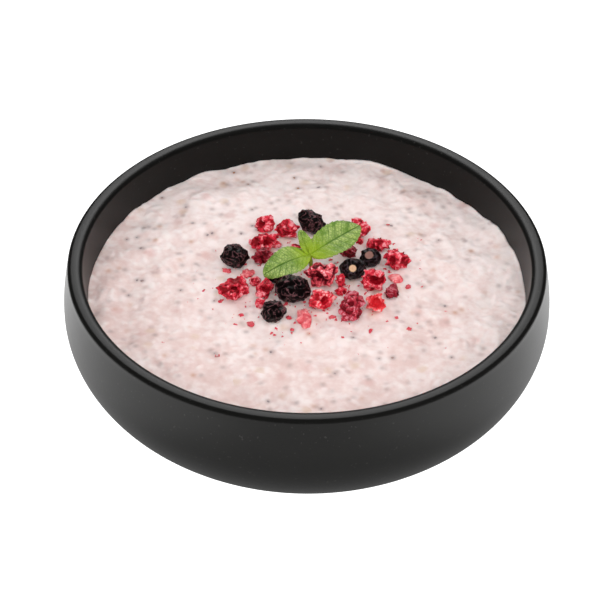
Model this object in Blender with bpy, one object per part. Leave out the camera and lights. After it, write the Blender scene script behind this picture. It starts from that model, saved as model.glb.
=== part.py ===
"""Chia rice pudding in a matte black bowl, with dried berries, raspberry crumbles and mint on top.

Metres, +Z up. The origin is the middle of the bowl's foot, and the front of the dish is at -Y.
"""
import math
from collections import namedtuple

import bmesh
import bpy
from mathutils import Euler, Matrix, Vector, noise
from mathutils.bvhtree import BVHTree

MM = 0.001

# Bowl: outside sizes, wall and foot
BOWL_HEIGHT = 54.0 * MM
RIM_RADIUS = 80.0 * MM
BELLY_RADIUS = 82.0 * MM
BELLY_DROP = 17.6 * MM
LOWER_CENTRE = 31.6 * MM
LIP_WIDTH = 5.2 * MM
LIP_OUTER_ROUND = 1.6 * MM
LIP_INNER_ROUND = 1.4 * MM
INNER_BELLY_RADIUS = 73.6 * MM
FLOOR_HEIGHT = 6.5 * MM
FOOT_RADIUS = 45.0 * MM
FOOT_WIDTH = 4.0 * MM
FOOT_HEIGHT = 1.5 * MM
FLARE_STEPS = 4
SEGMENTS = 60

# Pudding: how far its top lies below the rim, and how uneven it is
PUDDING_DROP = 13.9 * MM
PUDDING_RINGS = 19
WALL_GAP = 0.35 * MM
SWELL = 1.2 * MM
SWELL_LENGTH = 26.0 * MM
LUMP = 0.9 * MM
LUMP_LENGTH = 9.0 * MM

# Toppings rest this far above the pudding's facets, and sink this far into its lumps
REST_GAP = 0.5 * MM
SINK = 0.25 * MM
BALL_FACES = 1280
BERRY_FACES = 250
PIECE_FACES = 136
SCRAP_FACES = 84

# Mint: where its leaves part above the pudding's level, where its stem stands, and its thickness
MINT_NODE = (0.9 * MM, 6.3 * MM, 9.3 * MM)
STEM_FOOT = (1.6 * MM, 8.6 * MM)
STEM_RADIUS = 0.8 * MM
LEAF_THICKNESS = 0.55 * MM

PUDDING_LEVEL = BOWL_HEIGHT - PUDDING_DROP
BELLY_HEIGHT = BOWL_HEIGHT - BELLY_DROP


def clear_scene():
    for item in list(bpy.data.objects):
        bpy.data.objects.remove(item, do_unlink=True)


def material(name, colour, roughness):
    """A plain Principled finish; the colour is linear RGB."""
    made = bpy.data.materials.new(name)
    made.use_nodes = True
    shader = made.node_tree.nodes["Principled BSDF"]
    shader.inputs["Base Color"].default_value = (*colour, 1.0)
    shader.inputs["Roughness"].default_value = roughness
    shader.inputs["Metallic"].default_value = 0.0
    return made


def add_object(name, bm, finish):
    """Turn a bmesh into a smooth-shaded object with its own finish."""
    mesh = bpy.data.meshes.new(name)
    bmesh.ops.recalc_face_normals(bm, faces=bm.faces[:])
    bm.to_mesh(mesh)
    bm.free()
    mesh.shade_smooth()
    mesh.materials.append(finish)
    made = bpy.data.objects.new(name, mesh)
    bpy.context.scene.collection.objects.link(made)
    return made


def bake_union(body, helpers):
    """Fuse the helper objects into the body, then remove them."""
    group = bpy.data.collections.new(body.name + "_helpers")
    bpy.context.scene.collection.children.link(group)
    for helper in helpers:
        bpy.context.scene.collection.objects.unlink(helper)
        group.objects.link(helper)
    fuse = body.modifiers.new("Fuse", "BOOLEAN")
    fuse.operation = "UNION"
    fuse.solver = "MANIFOLD"
    fuse.operand_type = "COLLECTION"
    fuse.collection = group
    graph = bpy.context.evaluated_depsgraph_get()
    fused = bpy.data.meshes.new_from_object(body.evaluated_get(graph))
    body.modifiers.remove(fuse)
    body.data = fused
    for helper in helpers:
        bpy.data.objects.remove(helper, do_unlink=True)
    bpy.data.collections.remove(group)


def ring(bm, radius, height, count):
    """A ring of vertices, or one vertex where the radius is nothing."""
    if radius == 0.0:
        return [bm.verts.new((0.0, 0.0, height))]
    turns = [2.0 * math.pi * step / count for step in range(count)]
    return [bm.verts.new((radius * math.cos(t), radius * math.sin(t), height)) for t in turns]


def stitch(bm, first, second):
    """Join two rings with triangles, also where they have different counts."""
    a, b = 0, 0
    while a < len(first) or b < len(second):
        step_first = b >= len(second) or (a < len(first) and (a + 1) * len(second) <= (b + 1) * len(first))
        if len(first) == 1:
            step_first = False
        if len(second) == 1:
            step_first = True
        here = first[a % len(first)]
        there = second[b % len(second)]
        if step_first:
            bm.faces.new((here, first[(a + 1) % len(first)], there))
            a += 1
        else:
            bm.faces.new((here, second[(b + 1) % len(second)], there))
            b += 1
        if len(first) == 1 and b >= len(second):
            break
        if len(second) == 1 and a >= len(first):
            break


# Bowl

def quarter_ellipse(centre, reach, top, drop, steps):
    """Points from the widest place down to the bottom of a rounded corner, without its last."""
    points = []
    for step in range(steps):
        angle = 0.5 * math.pi * step / steps
        points.append((centre + reach * math.cos(angle), top - drop * math.sin(angle)))
    return points


def inner_wall():
    """The bowl's inside from the pudding's level down to the flat of its floor."""
    corner = quarter_ellipse(LOWER_CENTRE, INNER_BELLY_RADIUS - LOWER_CENTRE,
                             BELLY_HEIGHT, BELLY_HEIGHT - FLOOR_HEIGHT, 6)
    return corner + [(LOWER_CENTRE, FLOOR_HEIGHT)]


def lip_arc(centre, radius, start, end, steps):
    """Points round one edge of the lip, from the angle start to end in degrees."""
    points = []
    for step in range(steps + 1):
        angle = math.radians(start + (end - start) * step / steps)
        points.append((centre[0] + radius * math.cos(angle), centre[1] + radius * math.sin(angle)))
    return points


def bowl_profile():
    """Radius and height from the middle of the inner floor, over the lip and down to the foot."""
    inner_edge = (RIM_RADIUS - LIP_WIDTH + LIP_INNER_ROUND, BOWL_HEIGHT - LIP_INNER_ROUND)
    outer_edge = (RIM_RADIUS - LIP_OUTER_ROUND, BOWL_HEIGHT - LIP_OUTER_ROUND)
    points = [(0.0, FLOOR_HEIGHT)]
    points += reversed(inner_wall())
    points += lip_arc(inner_edge, LIP_INNER_ROUND, 180, 90, 3)
    points += lip_arc(outer_edge, LIP_OUTER_ROUND, 90, 0, 4)
    for step in range(1, FLARE_STEPS):
        share = step / FLARE_STEPS
        flare = (BELLY_RADIUS - RIM_RADIUS) * math.sin(0.5 * math.pi * share)
        drop = LIP_OUTER_ROUND + (BELLY_DROP - LIP_OUTER_ROUND) * share
        points.append((RIM_RADIUS + flare, BOWL_HEIGHT - drop))
    foot_angle = math.asin((BELLY_HEIGHT - FOOT_HEIGHT) / BELLY_HEIGHT)
    for step in range(8):
        angle = foot_angle * step / 7
        radius = LOWER_CENTRE + (BELLY_RADIUS - LOWER_CENTRE) * math.cos(angle)
        points.append((radius, BELLY_HEIGHT * (1.0 - math.sin(angle))))
    points.append((FOOT_RADIUS, 0.0))
    points.append((FOOT_RADIUS - FOOT_WIDTH, 0.0))
    points.append((FOOT_RADIUS - FOOT_WIDTH - FOOT_HEIGHT, FOOT_HEIGHT))
    points.append((0.0, FOOT_HEIGHT))
    return points


def make_bowl():
    bm = bmesh.new()
    rings = [ring(bm, radius, height, SEGMENTS) for radius, height in bowl_profile()]
    for first, second in zip(rings, rings[1:]):
        stitch(bm, first, second)
    return add_object("bowl", bm, material("matte_black_glaze", (0.022, 0.021, 0.021), 0.55))


# Pudding

def pudding_height(x, y):
    """The spooned top of the thick pudding: a slow swell with smaller lumps on it."""
    swell = noise.noise(Vector((x / SWELL_LENGTH, y / SWELL_LENGTH, 1.7)))
    lump = noise.noise(Vector((x / LUMP_LENGTH, y / LUMP_LENGTH, 5.1)))
    return PUDDING_LEVEL + SWELL * swell + LUMP * lump


# Raspberry crumbs on the pudding around the toppings: x, y and length in millimetres
CRUMBS = (
    (-27.2, 9.0, 3.0), (-28.9, -7.4, 1.9), (-21.9, -14.6, 1.8), (-18.6, -18.6, 3.2), (-23.4, -18.8, 1.4),
    (-5.9, -16.4, 2.2), (-4.6, -21.9, 1.6), (8.8, -15.3, 2.0), (34.3, 0.6, 2.3), (29.9, -15.4, 1.5),
    (21.3, -21.6, 1.7), (33.7, -21.2, 1.9), (34.6, 16.2, 1.6), (-6.8, -10.0, 1.8),
)


def make_crumb(x, y, length, number):
    """A flat scrap of dried raspberry, half sunk in the pudding."""
    bm = bmesh.new()
    bmesh.ops.create_icosphere(bm, subdivisions=1, radius=0.5)
    turn = Matrix.Rotation(2.4 * number, 4, "Z") @ Matrix.Rotation(0.5, 4, "X")
    size = Matrix.Diagonal((length * MM, 0.7 * length * MM, 0.55 * length * MM, 1.0))
    place = Matrix.Translation((x * MM, y * MM, pudding_height(x * MM, y * MM) + 0.05 * length * MM))
    bmesh.ops.transform(bm, matrix=place @ size @ turn, verts=bm.verts)
    return add_object("crumb_%d" % number, bm, bpy.data.materials["pink_pudding"])


def make_pudding():
    """Model the solid pudding with its crumbs, and return its bare top for the toppings to rest on."""
    finish = material("pink_pudding", (0.79, 0.62, 0.60), 0.45)
    inside = [(radius - WALL_GAP, height) for radius, height in inner_wall()]
    inside[-1] = (LOWER_CENTRE - WALL_GAP, FLOOR_HEIGHT + WALL_GAP)
    bm = bmesh.new()
    edge_radius = inside[0][0]
    rings = [ring(bm, 0.0, 0.0, 1)]
    for step in range(1, PUDDING_RINGS + 1):
        rings.append(ring(bm, edge_radius * step / PUDDING_RINGS, 0.0, 6 * step))
    for loop in rings:
        for vert in loop:
            vert.co.z = pudding_height(vert.co.x, vert.co.y)
    for radius, height in inside:
        rings.append(ring(bm, radius, height + WALL_GAP, SEGMENTS))
    rings.append(ring(bm, 0.0, FLOOR_HEIGHT + WALL_GAP, 1))
    for first, second in zip(rings, rings[1:]):
        stitch(bm, first, second)
    top = BVHTree.FromBMesh(bm)
    body = add_object("pudding", bm, finish)
    crumbs = [make_crumb(x, y, length, number) for number, (x, y, length) in enumerate(CRUMBS)]
    bake_union(body, crumbs)
    body.data.name = "pudding"
    body.data.set_sharp_from_angle(angle=math.radians(35.0))
    return top


def surface_below(top, x, y):
    """The height of the pudding's facets at x, y."""
    hit = top.ray_cast(Vector((x, y, BOWL_HEIGHT)), Vector((0.0, 0.0, -1.0)))
    return hit[0].z


# Toppings: each is a ball stretched to its size, then shaped by its knobs, pits and wrinkles.
# Places are x and y, sizes are x, y and z, in millimetres; turn and lean are in degrees.
# A feature is azimuth, elevation, amount and spread: a knob where it is positive, a pit where not.

Topping = namedtuple("Topping", "name at size turn seed features lean", defaults=((), 0))

BERRIES = (
    Topping("dark_berry_left", (-24.8, 12.6), (9.0, 8.6, 7.6), 20, 1),
    Topping("dark_berry_back", (1.4, 30.0), (10.2, 7.2, 7.4), -32, 2, ((150, 30, 0.1, 0.1),), 28),
    Topping("dark_berry_right", (15.5, 5.2), (8.8, 8.0, 6.9), 0, 3, ((-95, 48, -0.1, 0.05),)),
    Topping("dark_berry_far_right", (21.7, 11.4), (7.3, 7.0, 5.9), 10, 4, ((-110, 55, -0.12, 0.08),)),
    Topping("dark_berry_middle", (-4.7, -7.2), (11.4, 10.0, 8.5), -15, 5),
    Topping("dark_berry_front", (-10.9, -17.4), (7.6, 7.4, 7.0), 30, 6),
    Topping("dark_berry_hidden", (-11.0, 2.8), (6.2, 5.2, 5.2), 10, 7),
)

RASPBERRIES = (
    Topping("raspberry_back_left", (-14.9, 30.4), (6.8, 6.0, 5.2), 0, 11,
            ((40, 45, 0.35, 0.08), (-110, 35, -0.3, 0.08))),
    Topping("raspberry_back_middle", (-6.9, 27.2), (7.6, 5.8, 5.4), -10, 12,
            ((80, 60, 0.4, 0.12), (-60, 10, 0.15, 0.2))),
    Topping("raspberry_ring_left", (-14.7, 20.8), (9.4, 6.2, 5.6), 0, 13,
            ((-70, 45, -0.4, 0.08), (20, 30, 0.15, 0.2))),
    Topping("raspberry_dark_left", (-15.2, 13.4), (6.4, 5.2, 4.6), 20, 14, ((-90, 30, -0.2, 0.1),)),
    Topping("raspberry_wing", (-24.8, -5.6), (9.6, 7.4, 6.0), 15, 15,
            ((60, 35, 0.28, 0.1), (165, 5, 0.25, 0.1), (-95, 5, 0.2, 0.12), (-40, 45, -0.3, 0.08))),
    Topping("raspberry_scrap_left", (-17.6, 0.6), (3.6, 3.4, 3.2), 0, 16),
    Topping("raspberry_left_of_middle", (-14.2, -5.1), (5.2, 6.4, 5.2), -20, 17, ((-90, 30, -0.25, 0.1),)),
    Topping("raspberry_scrap_front", (-15.5, -11.6), (3.3, 3.5, 3.0), 0, 18),
    Topping("raspberry_cup", (4.5, 1.3), (10.0, 8.0, 7.6), 10, 19,
            ((-115, -5, -0.62, 0.16), (-20, 30, 0.12, 0.2), (170, 20, 0.12, 0.2))),
    Topping("raspberry_cup_lip", (11.5, 0.1), (3.2, 4.2, 5.0), 10, 20),
    Topping("raspberry_cup_foot", (11.6, -4.0), (4.2, 3.2, 2.8), 0, 21),
    Topping("raspberry_front_middle", (5.0, -10.8), (8.8, 6.8, 6.2), 10, 22,
            ((30, 40, 0.2, 0.1), (-100, 40, -0.25, 0.08))),
    Topping("raspberry_right_ring", (22.6, -1.0), (8.8, 7.0, 6.8), 0, 23,
            ((-90, 50, -0.45, 0.1), (60, 40, 0.12, 0.2))),
    Topping("raspberry_tiers", (14.7, -14.4), (7.6, 11.4, 6.4), -16, 24,
            ((80, 30, 0.16, 0.1), (-80, 0, 0.12, 0.1))),
    Topping("raspberry_front_ring", (23.1, -12.1), (6.4, 6.0, 5.6), 0, 25, ((-95, 45, -0.4, 0.09),)),
    Topping("raspberry_right_dark", (28.6, -5.4), (4.6, 4.6, 4.2), 0, 26, ((60, 60, 0.25, 0.1),)),
    Topping("raspberry_cone", (30.2, 10.2), (8.0, 6.6, 6.2), -20, 27,
            ((-22, 0, 0.35, 0.12), (120, 30, 0.1, 0.2))),
    Topping("raspberry_far_right", (24.8, 18.8), (8.2, 4.8, 4.6), -8, 28, ((-60, 40, -0.2, 0.08),)),
    Topping("raspberry_back_right", (18.2, 28.4), (7.2, 6.6, 5.2), -35, 29, ((130, 40, 0.2, 0.1),)),
    Topping("raspberry_scrap_right", (18.2, 23.4), (2.6, 2.4, 2.2), 0, 30),
    Topping("raspberry_under_leaf", (14.2, 16.8), (6.0, 4.6, 4.2), 0, 31),
    Topping("raspberry_flake_front", (-0.9, -18.0), (4.8, 10.0, 1.8), 6, 32),
    Topping("raspberry_flake_right", (30.4, 3.2), (5.0, 4.6, 1.6), -30, 33),
    Topping("raspberry_flake_left", (-20.2, 6.6), (4.4, 5.0, 1.6), -20, 34),
    Topping("raspberry_scrap_back", (-3.9, 21.8), (4.2, 2.2, 1.5), 0, 35),
)


def towards(azimuth, elevation):
    """A unit vector; azimuth 0 is +X and -90 is the front of the dish."""
    turn = math.radians(azimuth)
    rise = math.radians(elevation)
    return Vector((math.cos(turn) * math.cos(rise), math.sin(turn) * math.cos(rise), math.sin(rise)))


def swelling(direction, features):
    """How much the knobs and pits move the skin in a direction, as a share of the radius."""
    moved = 0.0
    for azimuth, elevation, amount, spread in features:
        closeness = 1.0 - direction.dot(towards(azimuth, elevation))
        moved += amount * math.exp(-closeness / spread)
    return moved


def crumpling(direction, amount, grain, seed):
    """Random wrinkles: smooth noise with sharp creases cut by finer folded noise."""
    shift = Vector((17.3, -9.1, 4.7)) * seed
    wrinkle = noise.noise(direction * grain + shift)
    crease = 0.5 * abs(noise.noise(direction * 2.2 * grain - shift)) - 0.1
    return amount * (wrinkle - crease)


def make_topping(top, fruit, crumple, grain, faces, finish):
    """One dried fruit or piece of fruit, resting on the pudding."""
    bm = bmesh.new()
    bmesh.ops.create_icosphere(bm, subdivisions=4, radius=1.0)
    half = Vector(fruit.size) * 0.5 * MM
    pose = Euler((0.0, math.radians(fruit.lean), math.radians(fruit.turn))).to_matrix()
    for vert in bm.verts:
        direction = vert.co.normalized()
        reach = 1.0 + swelling(pose @ direction, fruit.features)
        reach += crumpling(direction, crumple, grain, fruit.seed)
        vert.co = pose @ (direction * half * reach)
    x, y = fruit.at[0] * MM, fruit.at[1] * MM
    lowest = min(vert.co.z for vert in bm.verts)
    lift = surface_below(top, x, y) + REST_GAP - lowest - SINK
    for vert in bm.verts:
        vert.co += Vector((x, y, lift))
        vert.co.z = max(vert.co.z, surface_below(top, vert.co.x, vert.co.y) + REST_GAP)
    made = add_object(fruit.name, bm, finish)
    fewer = made.modifiers.new("Fewer facets", "DECIMATE")
    fewer.ratio = faces / BALL_FACES
    return made


def make_toppings(top):
    dark = material("dried_dark_berry", (0.012, 0.008, 0.011), 0.5)
    red = material("dried_raspberry", (0.45, 0.02, 0.045), 0.6)
    for berry in BERRIES:
        # The two shiny berries with a scar are smoother than the raisined ones
        crumple = 0.16 if "right" in berry.name else 0.27
        make_topping(top, berry, crumple, 2.4, BERRY_FACES, dark)
    for piece in RASPBERRIES:
        small = max(piece.size) < 5.5 or piece.size[2] < 2.0
        make_topping(top, piece, 0.5, 2.0, SCRAP_FACES if small else PIECE_FACES, red)


# Mint: two large leaves and a small folded one that part from the top of a short stem.
# A tip is given in millimetres from the middle of the dish and the pudding's level.

Leaf = namedtuple("Leaf", "name tip up width arch fold stations across")

LEAVES = (
    Leaf("leaf_left", (-14.6, -1.0, 6.2), (0.1, -0.35, 0.94), 10.3, 2.0, 0.4, 14, 4),
    Leaf("leaf_right", (17.9, 18.2, 12.5), (0.0, -0.45, 0.89), 11.6, 0.9, 0.5, 14, 4),
    Leaf("leaf_small", (-2.6, 11.8, 15.4), (0.5, -0.8, 0.3), 4.6, -0.5, 1.2, 8, 2),
)


def leaf_width(along):
    """Half width of a mint leaf as a share of its widest, from its base at 0 to its tip at 1."""
    body = math.sin(math.pi * along ** 0.8) ** 0.6
    return max(body, 0.10 * (1.0 - along) + 0.04)


def leaf_layer(bm, leaf, base, lift):
    """One face of a leaf: a grid of vertices, arched along it, folded and waved across it."""
    spine = Vector(leaf.tip) * MM + Vector((0.0, 0.0, PUDDING_LEVEL)) - base
    ahead = spine.normalized()
    up = Vector(leaf.up)
    face = (up - up.dot(ahead) * ahead).normalized()
    side = face.cross(ahead)
    grid = []
    for station in range(leaf.stations + 1):
        along = station / leaf.stations
        tooth = 1.05 if station % 2 else 0.95
        half = 0.5 * leaf.width * MM * leaf_width(along) * tooth
        row = []
        for place in range(leaf.across + 1):
            out = 2.0 * place / leaf.across - 1.0
            rise = leaf.arch * 4.0 * along * (1.0 - along) + leaf.fold * abs(out) * leaf_width(along)
            wave = 0.05 * leaf.width * math.sin(9.0 * along + 2.0 * out) * abs(out)
            point = base + spine * along + side * (half * out) + face * ((rise + wave) * MM + lift)
            row.append(bm.verts.new(point))
        grid.append(row)
    return grid


def make_leaf(leaf, base, finish):
    """A thin wavy leaf with a toothed edge, both faces split alike."""
    bm = bmesh.new()
    upper = leaf_layer(bm, leaf, base, 0.5 * LEAF_THICKNESS)
    lower = leaf_layer(bm, leaf, base, -0.5 * LEAF_THICKNESS)
    last, far = leaf.stations, leaf.across
    for grid in (upper, lower):
        for i in range(last):
            for j in range(far):
                bm.faces.new((grid[i][j], grid[i + 1][j], grid[i + 1][j + 1]))
                bm.faces.new((grid[i][j], grid[i + 1][j + 1], grid[i][j + 1]))
    border = [(i, 0) for i in range(last)] + [(last, j) for j in range(far)]
    border += [(i, far) for i in range(last, 0, -1)] + [(0, j) for j in range(far, 0, -1)]
    for (i, j), (k, m) in zip(border, border[1:] + border[:1]):
        bm.faces.new((upper[i][j], upper[k][m], lower[k][m]))
        bm.faces.new((upper[i][j], lower[k][m], lower[i][j]))
    return add_object(leaf.name, bm, finish)


def make_mint(top):
    """The sprig: a stem standing on the pudding, with its leaves fused on."""
    green = material("mint_leaf", (0.16, 0.32, 0.07), 0.5)
    node = Vector(MINT_NODE) + Vector((0.0, 0.0, PUDDING_LEVEL))
    foot = Vector((*STEM_FOOT, surface_below(top, *STEM_FOOT) + REST_GAP))
    leaves = [make_leaf(leaf, node, green) for leaf in LEAVES]
    bm = bmesh.new()
    spine = node - foot
    bmesh.ops.create_cone(bm, cap_ends=True, cap_tris=True, segments=8, radius1=STEM_RADIUS,
                          radius2=STEM_RADIUS, depth=spine.length + LEAF_THICKNESS)
    stand = Matrix.Translation(foot + 0.5 * spine) @ spine.to_track_quat("Z", "Y").to_matrix().to_4x4()
    bmesh.ops.transform(bm, matrix=stand, verts=bm.verts)
    for vert in bm.verts:
        vert.co.z = max(vert.co.z, surface_below(top, vert.co.x, vert.co.y) + REST_GAP)
    sprig = add_object("mint_sprig", bm, green)
    bake_union(sprig, leaves)
    sprig.data.name = "mint_sprig"


clear_scene()
make_bowl()
pudding_top = make_pudding()
make_toppings(pudding_top)
make_mint(pudding_top)
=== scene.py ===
"""The looks of a chia rice pudding in a matte black bowl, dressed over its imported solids.

Metres, +Z up. The origin is the middle of the bowl's foot, and the front of the dish is at -Y.
"""
import math
import random

import bmesh
import bpy
import numpy as np
from mathutils import Matrix, Vector, noise
from mathutils.bvhtree import BVHTree


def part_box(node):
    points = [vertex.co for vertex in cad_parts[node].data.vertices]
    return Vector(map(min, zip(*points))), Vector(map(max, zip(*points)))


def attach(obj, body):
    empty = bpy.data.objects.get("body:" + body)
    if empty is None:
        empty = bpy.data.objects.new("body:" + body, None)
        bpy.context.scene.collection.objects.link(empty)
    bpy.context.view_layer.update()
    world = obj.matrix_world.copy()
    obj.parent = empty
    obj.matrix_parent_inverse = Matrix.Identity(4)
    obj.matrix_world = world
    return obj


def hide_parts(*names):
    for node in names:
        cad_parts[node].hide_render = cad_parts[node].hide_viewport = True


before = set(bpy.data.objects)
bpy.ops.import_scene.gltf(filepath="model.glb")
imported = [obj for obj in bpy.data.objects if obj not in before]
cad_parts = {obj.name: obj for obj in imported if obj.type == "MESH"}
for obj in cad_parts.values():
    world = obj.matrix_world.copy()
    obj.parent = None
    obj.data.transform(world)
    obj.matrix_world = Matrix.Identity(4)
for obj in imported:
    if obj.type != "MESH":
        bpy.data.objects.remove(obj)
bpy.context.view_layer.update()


# Camera: it looks down on the dish from in front. The rim's centre is seen a little right of
# the picture's middle and above it, which turns the camera away from the dish by that much.

MM = 0.001
RIM_CENTRE = Vector((0.0, 0.0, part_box("bowl")[1].z))
ELEVATION = math.radians(39.13)
DISTANCE = 668.2 * MM
ROLL = math.radians(0.4472)
PICTURE_SIDE = 600
FOCAL_LENGTH = 2000.0
RIM_CENTRE_SEEN = (306.7, 255.8)
SENSOR_WIDTH = 36.0

to_dish = Vector((0.0, math.cos(ELEVATION), -math.sin(ELEVATION)))
over_dish = Vector((0.0, math.sin(ELEVATION), math.cos(ELEVATION)))
seen_right = RIM_CENTRE_SEEN[0] - 0.5 * PICTURE_SIDE
seen_above = 0.5 * PICTURE_SIDE - RIM_CENTRE_SEEN[1]
ahead = to_dish * FOCAL_LENGTH - Vector((seen_right, 0.0, 0.0)) - over_dish * seen_above
ahead.normalize()
across = ahead.cross(over_dish).normalized()
above = across.cross(ahead)
camera_right = across * math.cos(ROLL) + above * math.sin(ROLL)
camera_up = above * math.cos(ROLL) - across * math.sin(ROLL)
camera_data = bpy.data.cameras.new("camera")
camera_data.sensor_width = SENSOR_WIDTH
camera_data.lens = SENSOR_WIDTH * FOCAL_LENGTH / PICTURE_SIDE
camera_data.clip_start = 0.01
camera_data.clip_end = 20.0
camera = bpy.data.objects.new("camera", camera_data)
camera.matrix_world = Matrix.Translation(RIM_CENTRE - to_dish * DISTANCE) @ Matrix(
    (camera_right, camera_up, -ahead)).transposed().to_4x4()
bpy.context.scene.collection.objects.link(camera)
bpy.context.scene.camera = camera
bpy.context.scene.view_settings.view_transform = "Standard"


# Studio: a white floor and white walls all round light the food softly, with a wide light above it.
# What the bowl's gloss reflects is set apart from that: a lower light behind, and a floor that is
# dark near the dish and behind it, which leaves the black lines along the bowl's lip.

FLOOR_REACH = 1.0
FLOOR_DROP = 0.2 * MM
FLOOR_SIDES = 96
SWEEP_ROUND = 0.4
SWEEP_STEPS = 8
WALL_TOP = 1.3
WALL_SIDES = 48
FLOOR_GLOW = 1.5
FLOOR_LIGHT = 3.5
FLOOR_NEAR = (15.0 * MM, 215.0 * MM)
FLOOR_ASIDE = (60.0 * MM, 125.0 * MM)
FLOOR_BEHIND = (70.0 * MM, 150.0 * MM)
WALL_GLOW = 1.5
ROOM_GLOW = 0.06
DIM = (0.02, 0.02, 0.02)
WHITE = (1.0, 1.0, 1.0)


def both_ways(operation):
    """A wire's two operators for a Math node: with the wire on the left, and on the right."""
    return (lambda wire, other: wire.board.math(operation, wire, other),
            lambda wire, other: wire.board.math(operation, other, wire))


class Wire:
    """A node's output socket. Arithmetic on it adds Math nodes to its tree."""

    __add__, __radd__ = both_ways("ADD")
    __sub__, __rsub__ = both_ways("SUBTRACT")
    __mul__, __rmul__ = both_ways("MULTIPLY")
    __truediv__, __rtruediv__ = both_ways("DIVIDE")

    def __init__(self, board, socket):
        self.board = board
        self.socket = socket

    def __abs__(self):
        return self.board.math("ABSOLUTE", self)


class Board:
    """A node tree that grows one node at a time."""

    def __init__(self, tree):
        self.tree = tree

    def add(self, kind, sockets=None, out=0, **settings):
        """Add a node with its settings, then its sockets by index or name, and return an output."""
        made = self.tree.nodes.new(kind)
        for setting, value in settings.items():
            setattr(made, setting, value)
        for socket, value in (sockets or {}).items():
            if isinstance(value, Wire):
                self.tree.links.new(value.socket, made.inputs[socket])
            else:
                made.inputs[socket].default_value = value
        return Wire(self, made.outputs[out])

    def math(self, operation, *values):
        return self.add("ShaderNodeMath", dict(enumerate(values)), operation=operation)

    def vector(self, operation, *values, out=0):
        return self.add("ShaderNodeVectorMath", dict(enumerate(values)), out, operation=operation)

    def scaled(self, vector, amount):
        return self.add("ShaderNodeVectorMath", {0: vector, "Scale": amount}, operation="SCALE")

    def part(self, vector, axis):
        """A vector's x, y or z, for axis 0, 1 or 2."""
        return self.add("ShaderNodeSeparateXYZ", {0: vector}, axis)

    def noise(self, place, scale, detail=1.0, distortion=0.0, out=0):
        return self.add("ShaderNodeTexNoise", {"Vector": place, "Scale": scale, "Detail": detail,
                                               "Distortion": distortion}, out)

    def step(self, value, start, end):
        """0 where the value is at start, 1 where it is at end, smooth between them."""
        return self.add("ShaderNodeMapRange", {"Value": value, "From Min": start, "From Max": end},
                        interpolation_type="SMOOTHSTEP")

    def blend(self, share, first, second):
        """A colour between the first and the second."""
        first = first if isinstance(first, Wire) else (*first, 1.0)
        second = second if isinstance(second, Wire) else (*second, 1.0)
        return self.add("ShaderNodeMix", {0: share, 6: first, 7: second}, out=2, data_type="RGBA")


class Finish(Board):
    """A material made of one Principled shader and the patterns that feed it."""

    def __init__(self, name, **constants):
        self.material = bpy.data.materials.new(name)
        self.material.use_nodes = True
        super().__init__(self.material.node_tree)
        self.shader = self.tree.nodes["Principled BSDF"]
        for label, value in constants.items():
            self.shader.inputs[label.replace("_", " ")].default_value = value
        self.place = self.add("ShaderNodeTexCoord", out="Object")

    def feed(self, socket, value):
        self.tree.links.new(value.socket, self.shader.inputs[socket])

    def tone(self, label):
        """A value that the mesh carries at each point."""
        return self.add("ShaderNodeAttribute", out="Fac", attribute_name=label)

    def grain(self, length, detail=2.0, distortion=0.0):
        """Cloudy noise from 0 to 1 with spots about as wide as the length."""
        return self.noise(self.place, 1.0 / length, detail, distortion)

    def relief(self, height, depth, strength=1.0):
        """Fine relief, too small for the mesh."""
        self.feed("Normal", self.add("ShaderNodeBump", {"Height": height, "Distance": depth,
                                                        "Strength": strength}))


def linked(name, data):
    """A new object in the scene."""
    made = bpy.data.objects.new(name, data)
    bpy.context.scene.collection.objects.link(made)
    return made


def mesh_of(name, corners, faces=()):
    mesh = bpy.data.meshes.new(name)
    mesh.from_pydata(corners, [], faces)
    mesh.shade_smooth()
    return mesh


def note_on(mesh, label, values, kind="FLOAT", field="value"):
    """Keep values on a mesh's points for its finish or recipe to read."""
    mesh.attributes.new(label, kind, "POINT").data.foreach_set(field, values)


def arc(centre, reach, rise, start, end, steps):
    """Radius and height along an ellipse's arc, from one angle to another in degrees."""
    points = []
    for step in range(steps + 1):
        angle = math.radians(start + (end - start) * step / steps)
        points.append((centre[0] + reach * math.cos(angle), centre[1] + rise * math.sin(angle)))
    return points


def around(radius, azimuth):
    """The x and y of a point round the middle of the dish."""
    return radius * math.cos(azimuth), radius * math.sin(azimuth)


def glowing_white(name, strength):
    return Finish(name, Base_Color=(0.0, 0.0, 0.0, 1.0), Roughness=1.0, Specular_IOR_Level=0.0,
                  Emission_Color=(*WHITE, 1.0), Emission_Strength=strength).material


def swept_wall(name, start, end, glow):
    """The wall from one azimuth to another, in degrees, rounded where it leaves the floor."""
    outline = arc((FLOOR_REACH, SWEEP_ROUND), SWEEP_ROUND, SWEEP_ROUND, -90, 0, SWEEP_STEPS)
    outline.append((FLOOR_REACH + SWEEP_ROUND, WALL_TOP))
    corners = []
    for step in range(WALL_SIDES + 1):
        azimuth = math.radians(start + (end - start) * step / WALL_SIDES)
        corners += [(*around(radius, azimuth), height) for radius, height in outline]
    rows = len(outline)
    faces = []
    for step in range(WALL_SIDES):
        for row in range(rows - 1):
            a = step * rows + row
            faces.append((a, a + 1, a + rows + 1, a + rows))
    made = linked(name, mesh_of(name, corners, faces))
    made.data.materials.append(glowing_white(name, glow))
    made.visible_glossy = False
    return made


def soft_light(name, place, size, radiance):
    """A square soft light at a place, turned to the dish."""
    light = bpy.data.lights.new(name, "AREA")
    light.size = size
    light.energy = radiance * math.pi * size * size
    made = linked(name, light)
    made.location = place
    made.rotation_euler = (RIM_CENTRE - Vector(place)).to_track_quat("-Z", "Y").to_euler()
    made.visible_camera = False
    return made


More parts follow.
